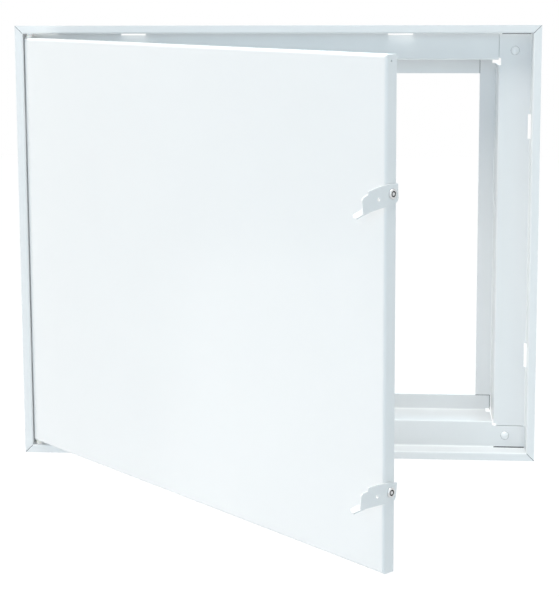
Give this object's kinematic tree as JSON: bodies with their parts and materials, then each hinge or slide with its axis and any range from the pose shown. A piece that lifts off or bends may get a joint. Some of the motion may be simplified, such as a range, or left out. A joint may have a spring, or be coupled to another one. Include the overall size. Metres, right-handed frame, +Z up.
{
  "type": "hinged steel access panel",
  "caption": "White folded-steel access panel: a flanged, rebated frame that sits in a wall opening, with a side-hung pan door and turning edge latches.",
  "frame": {"origin": "middle of the sill flange's back face, on the wall surface", "axes": "+X to the right seen from the room, +Y into the wall, +Z up; the panel faces -Y"},
  "size_m": [0.621, 0.5068, 0.5229],
  "materials": {
    "white_powder_coat": "smooth satin powder coat",
    "white_rivet": "painted dome rivet",
    "plated_steel": "bright zinc plate",
    "nylon": "natural nylon"
  },
  "bodies": {
    "frame": {"sill_rail": "white_powder_coat", "right_jamb": "white_powder_coat", "head_rail": "white_powder_coat", "left_jamb": "white_powder_coat", "lower_right_rivet": "white_rivet", "upper_right_rivet": "white_rivet", "upper_left_rivet": "white_rivet", "lower_left_rivet": "white_rivet", "upper_pivot_pin": "white_rivet", "lower_pivot_pin": "white_rivet", "upper_pivot_collar": "nylon", "lower_pivot_collar": "nylon"},
    "door": {"door_pan": "white_powder_coat", "upper_latch_screw": "plated_steel", "upper_latch_washer": "plated_steel", "upper_latch_nut": "plated_steel", "lower_latch_screw": "plated_steel", "lower_latch_washer": "plated_steel", "lower_latch_nut": "plated_steel"},
    "upper_latch": {"upper_latch_lever": "white_powder_coat"},
    "lower_latch": {"lower_latch_lever": "white_powder_coat"}
  },
  "joints": [
    {"name": "door_hinge", "type": "hinge", "parent": "frame", "child": "door", "pos_m": [-0.2938, 0.004, 0.25675], "axis": [0, 0, -1], "range_deg": [-43.1, 56.9]},
    {"name": "upper_latch_turn", "type": "hinge", "parent": "door", "child": "upper_latch", "pos_m": [0.13459, -0.39482, 0.37545], "axis": [-0.7302, 0.6833, 0], "range_deg": [-34.9, 88.1]},
    {"name": "lower_latch_turn", "type": "hinge", "parent": "door", "child": "lower_latch", "pos_m": [0.13459, -0.39482, 0.09005], "axis": [-0.7302, 0.6833, 0], "range_deg": [-46.2, 76.8]}
  ]
}
